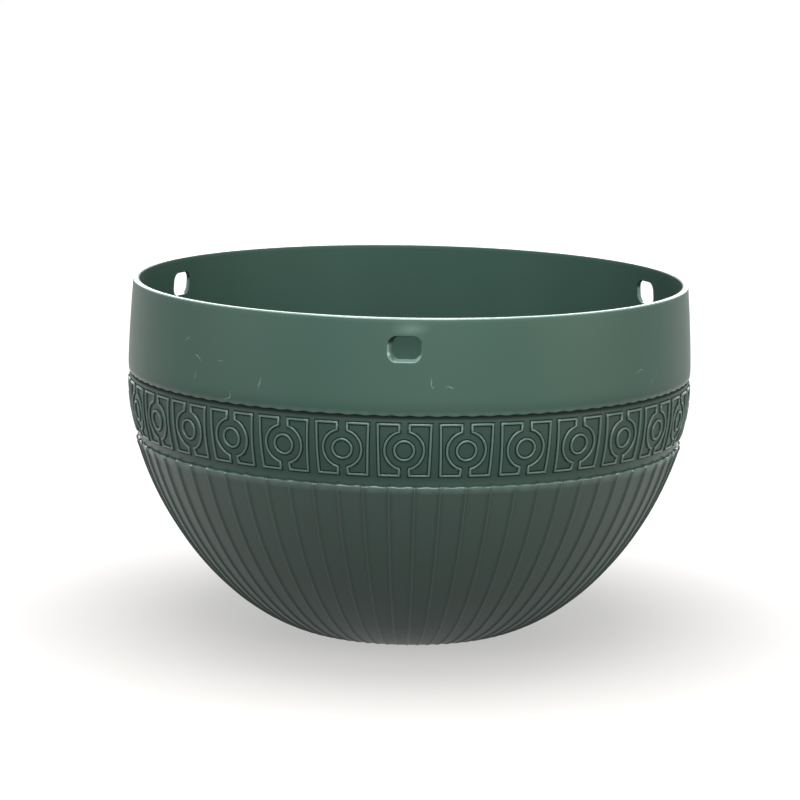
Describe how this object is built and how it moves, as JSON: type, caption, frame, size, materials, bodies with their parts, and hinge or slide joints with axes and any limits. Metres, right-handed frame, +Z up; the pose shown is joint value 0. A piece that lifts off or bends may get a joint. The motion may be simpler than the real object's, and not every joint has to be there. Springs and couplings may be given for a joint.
{
  "type": "hanging bowl planter",
  "caption": "Round moulded hanging planter: ribbed bowl, recessed frieze, smooth band with hanging slots, lift-out drainage platform and drain plug.",
  "frame": {"origin": "centre of the base, on the plane that the foot ring rests on", "axes": "+Z up along the bowl's axis, -Y towards the front hanging slot, +X to the right seen from the front"},
  "size_m": [0.254, 0.254, 0.159],
  "materials": {
    "green_plastic": "satin moulded dark green plastic with a fine grain",
    "platform_plastic": "plain moulded dark green plastic",
    "plug_rubber": "soft black rubber"
  },
  "bodies": {
    "bowl": {"planter_bowl": "green_plastic"},
    "platform": {"drainage_platform": "platform_plastic"},
    "plug": {"drain_plug": "plug_rubber"}
  },
  "joints": [
    {"name": "platform_lift", "type": "slide", "parent": "bowl", "child": "platform", "axis": [0, 0, 1], "range_m": [0, 0.16]},
    {"name": "plug_pull", "type": "slide", "parent": "bowl", "child": "plug", "axis": [0, 0, -1], "range_m": [0, 0.02]}
  ]
}
